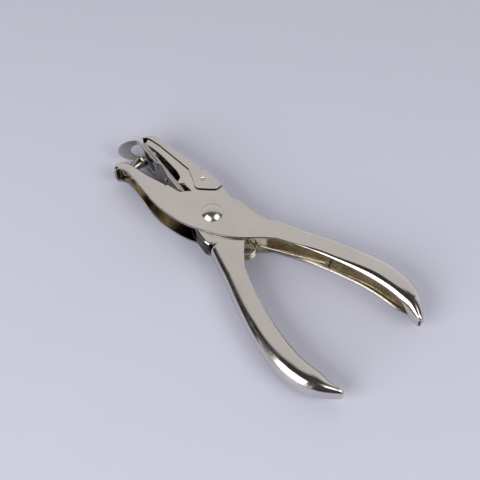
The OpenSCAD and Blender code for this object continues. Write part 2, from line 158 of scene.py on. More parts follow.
# %% The die line and the throat
DIE_TILT = math.radians(10.6)
DIE_ROOT = Vector((-17, -1))
DIE_DIR = Vector((-math.cos(DIE_TILT), math.sin(DIE_TILT)))
DIE_UP = Vector((math.sin(DIE_TILT), math.cos(DIE_TILT)))
DIE_T = 1.1                                # gauge of the die plate
THROAT_X, THROAT_Y, THROAT_TILT = -17.7, -2.5, math.radians(8.3)
JAW_REACH = 47.6                           # from the pivot to the tip of the punch's jaw
OPEN_GAP, FULL_TRAVEL = 2.8, 4.15          # from the punch to the die plate, and its whole way


def on_die(s, h):
    """A point s along the die face and h out of it, away from the throat."""
    return DIE_ROOT + s * DIE_DIR + h * DIE_UP


def throat(x):
    """The point of the throat line at x."""
    return Vector((x, THROAT_Y + (x - THROAT_X) * math.tan(THROAT_TILT)))


PUNCH_X = JAW_REACH - 4.3
NOSE = throat(-JAW_REACH + 5.6)            # where the throat starts to round off to the tip
DIE_Y = DIE_ROOT.y + (PUNCH_X + DIE_ROOT.x) * math.tan(DIE_TILT)
TIP_Y = DIE_Y - OPEN_GAP
BASE_Y = throat(-PUNCH_X).y
cut_angle = (math.asin(OPEN_GAP / PUNCH_X) + math.asin(FULL_TRAVEL / PUNCH_X)) / 2
hole = Vector((-PUNCH_X * math.cos(cut_angle) + TIP_Y * math.sin(cut_angle),
               PUNCH_X * math.sin(cut_angle) + TIP_Y * math.cos(cut_angle)))
HOLE_S = (hole - DIE_ROOT).dot(DIE_DIR)
DIE_END = HOLE_S + 3.35
DIE_TIP = on_die(DIE_END, 0)
print("die hole at", round(HOLE_S, 2), "mm along the die face")

# %% [markdown]
# ## Working in edit mode by code
# An operator acts on all that is selected, and the frame comes in selected, so each step starts from
# nothing selected. Faces are picked by where they lie, as a hand would pick them on the screen. A blank
# of sheet starts as a flat grid of cells, which can be counted off like squares on graph paper.

# %% Selection and modifier helpers
def start_clean():
    """Back to object mode, with nothing selected."""
    if bpy.context.object and bpy.context.object.mode != "OBJECT":
        bpy.ops.object.mode_set(mode="OBJECT")
    bpy.ops.object.select_all(action="DESELECT")


def only(obj):
    """Selects this piece alone and makes it the active one."""
    start_clean()
    obj.select_set(True)
    bpy.context.view_layer.objects.active = obj


def pick(obj, wanted, domain="FACE"):
    """Enters edit mode with just the faces or edges picked that wanted(item) is true for."""
    only(obj)
    bpy.ops.object.mode_set(mode="EDIT")
    bpy.ops.mesh.select_mode(type=domain)
    bpy.ops.mesh.select_all(action="DESELECT")
    bpy.ops.object.mode_set(mode="OBJECT")
    count = 0
    for item in obj.data.polygons if domain == "FACE" else obj.data.edges:
        item.select = bool(wanted(item))
        count += item.select
    bpy.ops.object.mode_set(mode="EDIT")
    return count


def leave():
    """Back to object mode, where the mesh can be read."""
    bpy.ops.object.mode_set(mode="OBJECT")


def modify(obj, kind, **settings):
    """Adds a modifier and applies it at once."""
    only(obj)
    tool = obj.modifiers.new(kind.title(), kind)
    for key, value in settings.items():
        setattr(tool, key, value)
    bpy.ops.object.modifier_apply(modifier=tool.name)


def smooth_by(obj, degrees):
    """Smooth shading, except over the edges that are sharper than this."""
    only(obj)
    bpy.ops.object.shade_smooth_by_angle(angle=math.radians(degrees))


def named(name):
    """Names the object that was just made, and its mesh."""
    obj = bpy.context.object
    obj.name = name
    obj.data.name = name
    return obj


def flat_grid(name, columns, rows):
    """A flat blank of cells one unit wide, with a corner at the origin."""
    start_clean()
    bpy.ops.mesh.primitive_grid_add(x_subdivisions=columns, y_subdivisions=rows, size=1)
    blank = named(name)
    bpy.ops.object.mode_set(mode="EDIT")
    bpy.ops.mesh.select_all(action="SELECT")
    bpy.ops.transform.resize(value=(columns, rows, 1))
    bpy.ops.transform.translate(value=(columns / 2, rows / 2, 0))
    leave()
    return blank


# %% [markdown]
# ## Broken edges
# A sheared rim is sharp, and the tumbling barrel takes that edge off. A bevel does the same. Its width
# has to fit the smallest face beside it, or the mesh folds over itself, so each edge gets its own
# weight.

# %% Bevel by the room there is
CORNER = 0.03           # what is left of the bevel at a corner, in millimetres
ROOM_SHARE = 0.8        # how much of a short face beside an edge the bevel may take
TURN_BACK = math.radians(100)   # a rim whose two edges stand closer together than this turns back


def break_edges(obj, width, segments=2, degrees=50):
    """Bevels the sharp edges, and less where the faces beside them are too short for the full width."""
    mesh = obj.data
    beside = {}
    for face in mesh.polygons:
        for key in face.edge_keys:
            beside.setdefault(key, []).append(face.normal.copy())
    limit = math.radians(degrees)
    sharp = {key for key, n in beside.items() if len(n) == 2 and n[0].angle(n[1], 0.0) > limit}
    room, rims = {}, {}
    for edge in mesh.edges:
        way = mesh.vertices[edge.key[1]].co - mesh.vertices[edge.key[0]].co
        if edge.key in sharp:
            rims.setdefault(edge.key[0], []).append(way)
            rims.setdefault(edge.key[1], []).append(-way)
            continue
        for v in edge.key:
            room[v] = min(room.get(v, 1.0), way.length)
    # At a corner of the sheet, or where its rim turns back sharply, only a trace of the bevel is left.
    for v, ways in rims.items():
        if len(ways) != 2 or ways[0].angle(ways[1], 0.0) < TURN_BACK:
            room[v] = min(room.get(v, 1.0), CORNER * MM)
    weight = mesh.attributes.new("bevel_weight_edge", "FLOAT", "EDGE")
    for edge in mesh.edges:
        if edge.key in sharp:
            least = min(room.get(v, 1.0) for v in edge.key)
            weight.data[edge.index].value = min(1.0, ROOM_SHARE * least / (width * MM))
    modify(obj, "BEVEL", width=width * MM, segments=segments, limit_method="WEIGHT",
           use_clamp_overlap=False)


# %% [markdown]
# ## Shader sums
# A finish is easier to read as a sum than as a web of wires. This small class holds a socket, and
# adding, subtracting or multiplying it adds the Math node that does so. Every other node comes from one
# method.

# %% The finish builder
class Wire:
    """A socket of a finish, to be used in a sum."""

    def __init__(self, finish, socket):
        self.finish, self.socket = finish, socket

    def calc(self, kind, *values, clamp=False):
        return self.finish.node("ShaderNodeMath", {"operation": kind, "use_clamp": clamp},
                                dict(enumerate(values)))

    def __add__(self, other):
        return self.calc("ADD", self, other)

    def __sub__(self, other):
        return self.calc("SUBTRACT", self, other)

    def __rsub__(self, other):
        return self.calc("SUBTRACT", other, self)

    def __mul__(self, other):
        return self.calc("MULTIPLY", self, other)

    __radd__, __rmul__ = __add__, __mul__

    def step(self, low, high):
        """0 below low and 1 above high, straight between; low may be the larger."""
        return self.calc("ADD", (self - low) * (1 / (high - low)), 0.0, clamp=True)


class Finish:
    """A material, with the values that are the same all over it set on its shader at once."""

    def __init__(self, name, **constants):
        self.material = bpy.data.materials.new(name)
        self.material.use_nodes = True
        self.tree = self.material.node_tree
        self.shader = self.tree.nodes["Principled BSDF"]
        for key, value in constants.items():
            self.shader.inputs[key.replace("_", " ")].default_value = value
        self.place = self.node("ShaderNodeTexCoord", outlet="Object")

    def node(self, kind, settings=None, sockets=None, outlet=0):
        """Any node: its settings are set first, then the values or wires of its sockets."""
        made = self.tree.nodes.new(kind)
        for key, value in (settings or {}).items():
            setattr(made, key, value)
        for key, value in (sockets or {}).items():
            if isinstance(value, Wire):
                self.tree.links.new(value.socket, made.inputs[key])
            else:
                made.inputs[key].default_value = value
        return Wire(self, made.outputs[outlet])

    def noise(self, scale, stretch=(1, 1, 1), detail=3.0, rough=0.5):
        """Cloudy noise, about 0.5 in the middle. The scale counts patches in a millimetre."""
        spot = self.node("ShaderNodeMapping", None,
                         {"Vector": self.place, "Scale": tuple(1000 * scale * s for s in stretch)})
        return self.node("ShaderNodeTexNoise", {"noise_dimensions": "3D"},
                         {"Vector": spot, "Scale": 1.0, "Detail": detail, "Roughness": rough})

    def blend(self, share, first, second):
        """From the first colour to the second."""
        def full(c):
            return c if isinstance(c, Wire) else (*c, 1.0)
        return self.node("ShaderNodeMix", {"data_type": "RGBA"},
                         {0: share, 6: full(first), 7: full(second)}, outlet=2)

    def plug(self, name, wire):
        self.tree.links.new(wire.socket, self.shader.inputs[name])
        return self

    def bump(self, height, depth):
        """The depth is that of the full height, in metres."""
        return self.plug("Normal", self.node("ShaderNodeBump", None,
                                             {"Height": height, "Distance": depth, "Strength": 1.0}))


# %% [markdown]
# ## Nickel plate
# Bright nickel is a warm grey mirror. Up close it isn't perfect: the sheet under it has a slight orange
# peel, the barrel that tumbled the parts left fine scratches, and handling left dull clouds. The three
# go into roughness, colour and a very shallow bump, so that the shapes still do most of the work.

# %% Nickel finishes
PEEL = 0.00004          # depth of the orange peel, in metres


def nickel(name, bright, dull, rough=0.12, peel=1.0):
    """Plated sheet: its colours where it is bright and where it is clouded, and its least roughness."""
    skin = Finish(name, Metallic=1.0)
    cloud = skin.noise(0.045, detail=4.0, rough=0.6)
    speck = skin.noise(1.6, detail=2.0)
    scratch = skin.noise(1.0, stretch=(0.12, 3.0, 1.5), detail=2.0)
    hair = skin.noise(1.0, stretch=(2.6, 0.16, 1.2), detail=2.0)
    lines = scratch.step(0.60, 0.68) + hair.step(0.62, 0.70)
    stain = cloud.step(0.35, 0.75) * 0.7 + speck.step(0.55, 0.8) * 0.3
    skin.plug("Base Color", skin.blend(stain, bright, dull))
    skin.plug("Roughness", rough + 0.09 * cloud.step(0.4, 0.8) + 0.05 * lines
              + 0.05 * speck.step(0.5, 0.9))
    wave = skin.noise(0.11, detail=2.0)
    return skin.bump(wave * 0.9 + speck * 0.04 - lines * 0.02, PEEL * peel)


lever_skin = nickel("nickel_lever", (0.70, 0.675, 0.66), (0.61, 0.585, 0.565))
cover_skin = nickel("nickel_cover", (0.69, 0.672, 0.66), (0.60, 0.58, 0.565), rough=0.15)
strip_skin = nickel("nickel_stripper", (0.66, 0.64, 0.62), (0.56, 0.54, 0.52), rough=0.2)
dome_skin = nickel("nickel_rivet", (0.68, 0.66, 0.635), (0.58, 0.56, 0.53), rough=0.22, peel=0.8)
print("nickel finish of the levers:", len(lever_skin.tree.nodes), "nodes")

# %% [markdown]
# ## The inside of the channels
# The plating bath hardly reaches into the folds. There the metal is duller and has an olive, brassy
# cast, with darker patches where polish and grease stayed behind. Painted shade, nearly black, darkens
# it in three places where the inside of the channel lies in shade: under the crossing, halfway along the
# jaw, and in its tip. They are told apart by their place along the tool.

# %% Finish of the insides
PATCH_DEPTH = 0.00006   # depth of the haze and the grime, in metres
inside = Finish("channel_inside", Metallic=1.0)
haze = inside.noise(0.12, detail=5.0, rough=0.65)
grime = inside.noise(0.5, stretch=(0.5, 1, 1.4), detail=3.0)
depth_x = inside.node("ShaderNodeSeparateXYZ", None, {"Vector": inside.place}, outlet="X")
# painted shade: three stretches along the tool, under the crossing, halfway along the jaw and in the tip,
# where the inside of the channel lies in shade
painted_channel_shade = depth_x.step(-0.0150, -0.0100) * depth_x.step(0.004, 0.002)
painted_channel_shade = painted_channel_shade + depth_x.step(-0.0335, -0.0310) * depth_x.step(-0.0250, -0.0275) * 0.7
painted_channel_shade = painted_channel_shade + depth_x.step(-0.0425, -0.0455) * 0.75
brass = inside.blend(haze.step(0.35, 0.7) * 0.8 + grime.step(0.5, 0.8) * 0.2,
                     (0.82, 0.75, 0.60), (0.40, 0.34, 0.25))
# the painted shade takes the brass nearly to black
inside.plug("Base Color", inside.blend(painted_channel_shade, brass, (0.07, 0.055, 0.042)))
inside.plug("Roughness", 0.15 + 0.16 * haze.step(0.3, 0.7))
inside.bump(haze * 0.7 + grime * 0.3, PATCH_DEPTH)
print("inside of the channels:", len(inside.tree.nodes), "nodes")

# %% [markdown]
# ## Cut edges and bare steel
# A sheared rim is greyer and rougher than the face of the sheet, with fine marks across it. The steel
# pieces carry the marks of their own tools: rings on the turned punch, streaks on the plate and the
# wire. All of them are one recipe, marks along one way and a few darker patches, with other numbers.

# %% Finishes of the cut edges, the steel pieces and the spring
SHALLOW = 0.00002       # depth of tool marks, in metres
edge_skin = Finish("cut_edge", Metallic=1.0)
shear_marks = edge_skin.noise(1.5, stretch=(1, 1, 0.3), detail=3.0)
edge_skin.plug("Base Color",
               edge_skin.blend(shear_marks.step(0.3, 0.7), (0.54, 0.52, 0.48), (0.33, 0.31, 0.28)))
edge_skin.plug("Roughness", 0.28 + 0.15 * shear_marks)
edge_skin.bump(shear_marks, SHALLOW)


def plain_steel(name, light, dark, rough, turned=(1, 1, 1)):
    """Bare or hardened steel: fine tool marks along one way, and a few darker patches."""
    skin = Finish(name, Metallic=1.0)
    marks = skin.noise(2.2, stretch=turned, detail=2.0)
    patch = skin.noise(0.2, detail=4.0, rough=0.6)
    skin.plug("Base Color", skin.blend(patch.step(0.3, 0.75) * 0.75 + marks.step(0.4, 0.7) * 0.25,
                                       light, dark))
    skin.plug("Roughness", rough + 0.12 * marks.step(0.35, 0.75) + 0.06 * patch)
    return skin.bump(marks * 0.6 + patch * 0.4, SHALLOW)


punch_steel = plain_steel("punch_steel", (0.42, 0.40, 0.38), (0.24, 0.23, 0.22), 0.12, (0.2, 3.0, 0.2))
die_steel = plain_steel("die_steel", (0.55, 0.53, 0.52), (0.40, 0.38, 0.38), 0.22, (0.2, 1.0, 3.0))
# nearly black steel, for painted shade: the dark reflection on the die lever's bridge and the shadow line
# along the cover's rim
painted_shade_steel = plain_steel("painted_shade_dark_steel", (0.035, 0.03, 0.024), (0.02, 0.016, 0.013), 0.24, (0.5, 1.0, 3.0))
dark_steel = plain_steel("hardened_steel", (0.36, 0.34, 0.31), (0.22, 0.20, 0.18), 0.25)
wire_steel = plain_steel("spring_wire", (0.74, 0.71, 0.64), (0.42, 0.39, 0.33), 0.15, (0.4, 0.4, 2.0))
print("finishes so far:", len(bpy.data.materials))

# %% [markdown]
# ## From blank to channel
# A channel starts as a flat grid: one row of cells for each pace along the lever, one column for each
# step across the unfolded sheet, from one free edge over the back to the other. The openings are cut in
# the flat, where picking cells is easy, and only then is every point moved to its place on the folded
# section. Solidify gives the gauge, inwards, and a small bevel breaks the sharp rims.
#
# The section is a path that starts at a free edge: a turned-in roll, the flat cheek, the bend, and half
# of the back. Its columns are shared out so that the bends get most of them.

# %% The folded section
ROLL_CELLS, CHEEK_CELLS, BEND_CELLS, BACK_CELLS = 8, 4, 12, 3
HALF_CELLS = ROLL_CELLS + CHEEK_CELLS + BEND_CELLS + BACK_CELLS
RIM_BAND = 2.4          # how far from the free edge the first columns reach, where there is no roll
print("columns in half a section:", HALF_CELLS)


def section_point(cell, b, half, bend, deep, roll, tall, turn, back_half):
    """Where a column lies: its distance from the back line and its height over the middle, and how far it
    is from the middle of the sheet when laid flat. Half a section can be an oval: bend is the half height
    of the bend and deep is its depth. In the same way, tall is the half height of the roll."""
    centre_x = b - roll * math.sin(turn)
    arc = roll * turn
    flat = max(centre_x - deep, 0.05)
    first = max(arc, min(RIM_BAND, 0.5 * (arc + flat)))
    curve = math.sqrt((bend * bend + deep * deep) / 2) * math.pi / 2
    marks = [0, first, arc + flat, arc + flat + curve, arc + flat + curve + back_half]
    counts = [ROLL_CELLS, CHEEK_CELLS, BEND_CELLS, BACK_CELLS]
    for i, n in enumerate(counts):
        if cell <= n or i == 3:
            run = marks[i] + (marks[i + 1] - marks[i]) * cell / n
            break
        cell -= n
    left = marks[4] - run
    if i == 3:
        return 0.0, back_half * (1 - cell / n), left
    if i == 2:
        a = math.pi / 2 * cell / n
        return deep - deep * math.sin(a), half - bend + bend * math.cos(a), left
    if run <= arc:
        a = math.pi / 2 - turn + run / roll
        return centre_x + roll * math.cos(a), half - tall + tall * math.sin(a), left
    return centre_x - (run - arc), half, left


# %% [markdown]
# The fold itself is one function for all three channels. A piece map is laid out on the way, in
# centimetres on the flat sheet, for patterns that have to follow it. Which way the faces look is read
# from the low cheek, and put right before Solidify, because the wall grows away from the outer skin.

# %% Fold a blank
def fold(name, stations, gauge, skins, rim=0.2, narrow=None):
    """stations: one dict for each pace, with its two ends in plan and the sizes of its section.
    skins: the finishes of the outer face, the inner face and the rim.
    narrow(x) says by how much the channel is set together there."""
    paces, cells = len(stations) - 1, 2 * HALF_CELLS
    blank = flat_grid(name, paces, cells)

    def opened(face):
        """Whether a cell is cut out: of bend or back, where one of its two stations lacks that."""
        pace, cell = int(face.center.x), int(face.center.y)
        cell = cell if cell < HALF_CELLS else cells - 1 - cell
        here, there = stations[pace], stations[pace + 1]
        if cell < ROLL_CELLS + CHEEK_CELLS:
            return False
        bent = cell < ROLL_CELLS + CHEEK_CELLS + BEND_CELLS
        return not (here["bent"] and there["bent"] if bent else here["backed"] and there["backed"])

    count = pick(blank, opened)
    if count:
        bpy.ops.mesh.delete(type="FACE")
    leave()
    run = [0.0]
    for a, b in zip(stations, stations[1:]):
        run.append(run[-1] + (b["back"] - a["back"]).length)
    maps = {}
    for v in blank.data.vertices:
        pace, cell = round(v.co.x), round(v.co.y)
        sign = -1 if cell < HALF_CELLS else 1
        st = stations[pace]
        way = st["rim"] - st["back"]
        x, z, left = section_point(min(cell, cells - cell), way.length, st["half"], st["bend"],
                                   st["deep"], st["roll"], st["tall"], st["turn"], st["back_half"])
        spot = st["back"] + way.normalized() * x
        z *= narrow(spot.x) if narrow else 1.0
        v.co = (spot.x * MM, spot.y * MM, (MID_Z + sign * z) * MM)
        maps[v.index] = (run[pace] / 10, sign * left / 10)
    layer = blank.data.uv_layers[0]
    layer.name = "UVMap"
    for loop in blank.data.loops:
        layer.data[loop.index].uv = maps[loop.vertex_index]
    low = next(face for face in blank.data.polygons
               if face.center.z < 0.5 * MID_Z * MM and abs(face.normal.z) > 0.9)
    if low.normal.z > 0:
        pick(blank, lambda face: True)
        bpy.ops.mesh.flip_normals()
        leave()
    for skin in skins:
        blank.data.materials.append(skin.material)
    modify(blank, "SOLIDIFY", thickness=gauge * MM, offset=-1, use_quality_normals=True,
           material_offset=1, material_offset_rim=len(skins) - 1)
    break_edges(blank, rim)
    smooth_by(blank, 35)
    print(name, "blank of", paces, "by", cells, "cells,", count, "cut out,",
          len(blank.data.polygons), "faces")
    return blank


# %% [markdown]
# ## Stations
# A lever is put together from stretches, and each stretch from stations: places along it where its
# section is known. Where nothing else is said, a station is two flat cheeks with no bend and no back
# between them.

# %% Stations and stretches
def station(back, rim, half, bend=0.05, roll=1.0, turn=0.04, bent=False, backed=False):
    """One place along a channel: its two ends in plan, and the sizes of its section."""
    back, rim = Vector(back), Vector(rim)
    bend = min(bend, 0.45 * (rim - back).length)
    return {"back": back, "rim": rim, "half": half, "bend": bend, "deep": bend, "roll": roll,
            "tall": roll, "turn": turn, "bent": bent, "backed": backed, "back_half": half - bend}


def leg(back_line, rim_line, paces, half, curved=(True, True), **rest):
    """Stations for one stretch before the handle; its last one is left to the next stretch."""
    back = paced(ruled(back_line) if curved[0] else back_line, paces)
    rim = paced(ruled(rim_line) if curved[1] else rim_line, paces)
    return [station(a, b, half, **rest) for a, b in zip(back[:-1], rim[:-1])]


# %% [markdown]
# ## The drawn handle
# Behind the crossing the channel is tight. Towards the grip its back swells to a half round, its free
# edges roll in so that they don't bite the hand, and the last third narrows to a beak. One function
# gives the sizes of the section for each share u of the handle's length, for both levers.

# %% Handle stations
SPANS, STEPS, TIP_STEPS = 5, 16, 40     # spans between the six points, steps in each, and in the last
OPEN_TURN = math.radians(56)            # how far the free edges are turned in before the tip
ROUND_FROM, ROUND_SPAN = 0.962, 0.038   # the part of the length in which the beak rounds off
ROUND_PULL, ROUND_DROP = 0.42, 1.1      # how far its lines run together there, and how much it thins
NARROW_FROM, NARROW_SPAN, NARROW_POWER = 0.72, 0.28, 1.8    # the part in which it narrows to the beak
SWELL_A, SWELL_B = 0.55, 1.3            # how far each cheek stands out in the grip of the two levers


def handle_stations(outer, inner, half, mirrored, swell, neck):
    """neck is the bend of the back where the handle starts."""
    outs = ruled(outer, STEPS)[:-STEPS - 1] + ruled(outer, TIP_STEPS)[-TIP_STEPS - 1:]
    ins = ruled(inner, STEPS)[:-STEPS - 1] + ruled(inner, TIP_STEPS)[-TIP_STEPS - 1:]
    shares = [k / (SPANS * STEPS) for k in range(STEPS * (SPANS - 1))]
    shares += [1 - 1 / SPANS + k / (SPANS * TIP_STEPS) for k in range(TIP_STEPS + 1)]
    made = []
    for u, back, rim in zip(shares, outs, ins):
        # The beak ends round: in the last part the two lines run together.
        end = min(1.0, max(0.0, (u - ROUND_FROM) / ROUND_SPAN))
        shrink = 1 - math.sqrt(max(0.0, 1 - 0.96 * end * end))
        back, rim = back.lerp(rim, ROUND_PULL * shrink), rim.lerp(back, ROUND_PULL * shrink)
        b = (rim - back).length
        h = half - (half - TIP_HALF) * max(0.0, (u - NARROW_FROM) / NARROW_SPAN) ** NARROW_POWER
        h += swell * ease(u, 0.3, 0.6) * (1 - ease(u, 0.66, 0.98)) - ROUND_DROP * shrink
        # The roll and the bend grow towards the grip, as far as the depth of the handle leaves room.
        roll = (TIGHT_R + (ROLL_R - TIGHT_R) * min(1.0, u / 0.25)
                + (GRIP_ROLL - ROLL_R) * ease(u, 0.28, 0.6))
        roll = min(roll, max(TIGHT_R, b * 0.42), 0.47 * b)
        bend = (neck + (NECK_R - neck) * ease(u, -0.05, 0.16)
                + (GRIP_R - NECK_R) * ease(u, 0.25, 0.7))
        bend = min(bend, h - 0.1, b - roll - 0.05)
        deep = bend + max(0.0, b - roll - 0.4 - bend) * ease(u, 0.2, 0.66)
        turn = OPEN_TURN * ease(u, 0.0, 0.3) + (math.pi / 2 - OPEN_TURN) * ease(u, 0.78, 0.92)
        turn = max(0.04, turn)
        if mirrored:
            back, rim = Vector((back.x, -back.y)), Vector((rim.x, -rim.y))
        st = station(back, rim, h, bend, roll, turn, True, True)
        # Towards the tip the two edges roll in until they meet, and the channel closes.
        st["tall"] = roll + (h - 0.02 - roll) * ease(u, 0.82, 0.93)
        st["bend"], st["deep"], st["back_half"] = bend, deep, h - bend
        made.append(st)
    print("handle stations:", len(made), "to a beak", round(2 * made[-1]["half"], 1), "mm high")
    return made


# %% [markdown]
# ## The dots of the grip
# The press leaves a band of fine raised dots on the round back, where the hand holds. They are true
# relief: the faces of that zone are divided, and each new point is lifted by a chequered wave. The wave
# follows the piece's own map, which is laid out in centimetres, first along the handle, second across
# the fold. Towards the sides and the ends of the zone the dots fade out, because the handle turns away
# there.

# %% Press the dots
DOT_PITCH, DOT_RISE = 0.095, 0.045      # centimetres on the sheet, and millimetres
DOT_CUTS = 5                            # cuts through each cell of the zone
FADE_START, FADE_END = 0.08, 0.35       # the fade at the two ends of the zone, in centimetres
SIDE_START, SIDE_END = 0.08, 0.16       # and at its two sides
GRIP_ZONE_A = (11.5, 15.0, 0.62)        # start and end along the sheet, and half width, in centimetres
GRIP_ZONE_B = (10.95, 14.55, 0.62)


def press_dots(sheet, start, end, wide):
    """The zone is given on the piece's map, in centimetres: its two ends, and half its width."""
    def spots():
        """The place on the map of each point of the outer face."""
        layer = sheet.data.uv_layers[0].data
        found = {}
        for face in sheet.data.polygons:
            if face.material_index == 0:
                for loop, v in zip(face.loop_indices, face.vertices):
                    found[v] = layer[loop].uv.copy()
        return found

    where = spots()
    zone = {face.index for face in sheet.data.polygons if face.material_index == 0
            and all(start < where[v].x < end and abs(where[v].y) < wide for v in face.vertices)}
    pick(sheet, lambda face: face.index in zone)
    bpy.ops.mesh.subdivide(number_cuts=DOT_CUTS)
    leave()
    points = sheet.data.vertices
    lifts = {}
    for v, uv in spots().items():
        inside_zone = (ease(uv.x, start + FADE_START, start + FADE_END)
                       * (1 - ease(uv.x, end - FADE_END, end - FADE_START))
                       * (1 - ease(abs(uv.y), wide - SIDE_END, wide - SIDE_START)))
        if inside_zone > 0:
            wave = math.sin(math.tau * uv.x / DOT_PITCH) * math.sin(math.tau * uv.y / DOT_PITCH)
            lifts[v] = points[v].normal * (DOT_RISE * MM * inside_zone * ease(wave, -0.1, 0.75))
    for v, lift in lifts.items():
        points[v].co += lift
    print(sheet.name, "grip dots:", len(zone), "cells divided,", len(sheet.data.polygons), "faces")


# %% [markdown]
# ## The punch lever
# Its jaw is a channel that opens away from the die: the throat is the back of the fold, and it runs on
# round the tip. In the middle the back is cut away, so that the other lever can pass between the
# cheeks. The stretches are listed from the tip of the jaw to the end of the handle.

# %% Outline of the punch lever
body_rim = ruled([(-17.6, -13.6), (-14.5, -13.4), (-8.5, -12.7), (-1.9, -11), (7.8, -6.5), (12.9, -3.6),
                  (17.8, 0.4), (22.9, 5.4), (27.4, 9.2)])
jaw = dict(bend=JAW_BEND, bent=True, backed=True)
tip_back = ((-4.5, -7), (-5.4, -5.7), (-5.6, -3.9), (-4.7, -2.1), (-2.8, -0.75), (0, 0))
tip_front = ((-3.6, -6.7), (-2.3, -5.2), (0.2, -4.2), (2.6, -4.15))
jaw_tip = leg([NOSE + Vector(d) for d in tip_back], [NOSE + Vector(d) for d in tip_front], 30, HALF_A,
              **jaw)
# Its very end is rounded like a tongue: over the first stations its width grows as in a quarter circle.
TONGUE, TONGUE_END = 9, 0.52
for k, st in enumerate(jaw_tip[:TONGUE]):
    share = math.sqrt(1 - (1 - k / TONGUE) ** 2)
    st["half"] *= TONGUE_END + 0.48 * share
    rounder = st["bend"] + (0.75 * st["half"] - st["bend"]) * (1 - share)
    st["bend"] = st["deep"] = min(rounder, 0.9 * (st["rim"] - st["back"]).length)
    st["back_half"] = st["half"] - st["bend"]
stations_a = (
    jaw_tip
    + leg([NOSE, throat(-23)],
          [NOSE + Vector((2.6, -4.15)), NOSE + Vector((7.2, -4.75)), (-30.3, -11.6), (-23, -13.2)],
          30, HALF_A, curved=(False, True), **jaw)
    + leg([throat(-23), throat(-17.7)], [(-23, -13.2), (-17.6, -13.6)], 6, HALF_A,
          curved=(False, False))
    + leg([(-17.7, -2.5), (-16, -1.5), (-14.6, 0.6), (-9.6, 4.7), (-4, 8.7)], body_rim[:30], 26, HALF_A)
    + leg([(-4, 8.7), (0.8, 10.9), (5.4, 12), (10.5, 12.2), (15.4, 12.5), (18.4, 13.9)], body_rim[29:77],
          30, HALF_A)
    + leg([(18.4, 13.9), (21, 15.6), (23.8, 17.3)], body_rim[76:], 10, HALF_A, bend=TIGHT_R, bent=True,
          backed=True)
    + handle_stations(OUT_A, IN_A, HALF_A, False, SWELL_A, TIGHT_R))
print("punch lever:", len(stations_a), "stations, the first", len(jaw_tip), "round the tip of its jaw")


# %% [markdown]
# The cheeks of the jaw are set closer together than those of the body. That is a press stroke of its
# own on the real lever, and a factor on the height of every point here, which depends on its place
# alone.

# %% Punch lever
def jaw_share(x):
    """How close together the cheeks are at x, as a share of the width of the body."""
    return (HALF_JAW + (HALF_A - HALF_JAW) * ease(x, -34, -25)) / HALF_A


punch_lever = fold("punch_lever_sheet", stations_a, SHEET, [lever_skin, inside, edge_skin],
                   narrow=jaw_share)
press_dots(punch_lever, *GRIP_ZONE_A)
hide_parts("punch_lever")
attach(punch_lever, "punch_side")

# %% [markdown]
# ## The die lever
# It is the narrower channel. Its jaw is two bare cheeks with windows along the die plate, and a tongue
# bridges them under the crossing. A small notch beside the tongue let the press fold the two apart.
# Again the stretches are listed from the tip of the jaw to the end of the handle.

# %% Outline of the die lever
cheek_back = [(-0.3, 11.3), (-5, 12.3), (-11.4, 12.4), (-25.5, 11.6), tuple(DIE_TIP + Vector((7, 5.9)))]
cheek_line = ruled(cheek_back[::-1])
tip_rim = [DIE_TIP + Vector(d) for d in ((-0.4, 3.1), (1.5, 5.3))] + [cheek_line[0]]
window = [on_die(DIE_END - 2.6, 1.5), on_die(DIE_END - 8, 2.8), on_die(15, 3.6), on_die(9, 3.9),
          on_die(5.7, 3.2)]
rib = [on_die(5, DIE_T), on_die(3.6, DIE_T)]
window_2 = [on_die(2.6, 2.7), on_die(0, 3.1), on_die(-2.2, 3.4)]
b_rim = ruled([(-0.3, 11.3), (6, 8.4), (12, 4.8), (17.8, 0.4), (22.4, -4.4), (27.4, -9.2)])
stations_b = (
    leg([on_die(DIE_END - 0.4, DIE_T), on_die(DIE_END - 2.4, DIE_T)], tip_rim, 8, HALF_B,
        curved=(False, True))
    + leg(window, cheek_line[:22], 30, HALF_B)
    + leg(rib, cheek_line[21:24], 4, HALF_B, curved=(False, False))
    + leg(window_2, cheek_line[23:31], 10, HALF_B)
    + leg([on_die(-5, DIE_T), on_die(-9.5, DIE_T)], cheek_line[30:42], 10, HALF_B,
          curved=(False, False))
    + leg([on_die(-9.5, DIE_T), (-8.3, -4)], cheek_line[41:48], 6, HALF_B, curved=(False, False))
    + leg([(-8.3, -4), (-4.5, -8), (-0.3, -10)], cheek_line[47:], 14, HALF_B, curved=(True, False))
    + leg([(-0.3, -10), (2.5, -10.9), (6.6, -11.8), (9.6, -11.7)], b_rim[:24], 20, HALF_B,
          curved=(True, False), bend=BRIDGE_BEND, bent=True, backed=True)
    + leg([(9.6, -10.2), (10.9, -10.4)], b_rim[23:27], 4, HALF_B, curved=(False, False))
    + leg([(10.9, -12.1), (17, -14.7), (23.8, -17.3)], b_rim[26:], 18, HALF_B, bend=NECK_B, bent=True,
          backed=True)
    + handle_stations(OUT_B, IN_B, HALF_B, True, SWELL_B, NECK_B))
print("die lever:", len(stations_b), "stations")

# %% [markdown]
# The bridge, where the two levers slide past each other, is painted nearly black on its outer faces:
# painted shade, a dark reflection put into the colour. That is a fourth finish on the piece, given to
# the outer faces of the bridge, which are picked by their place and by where they look.

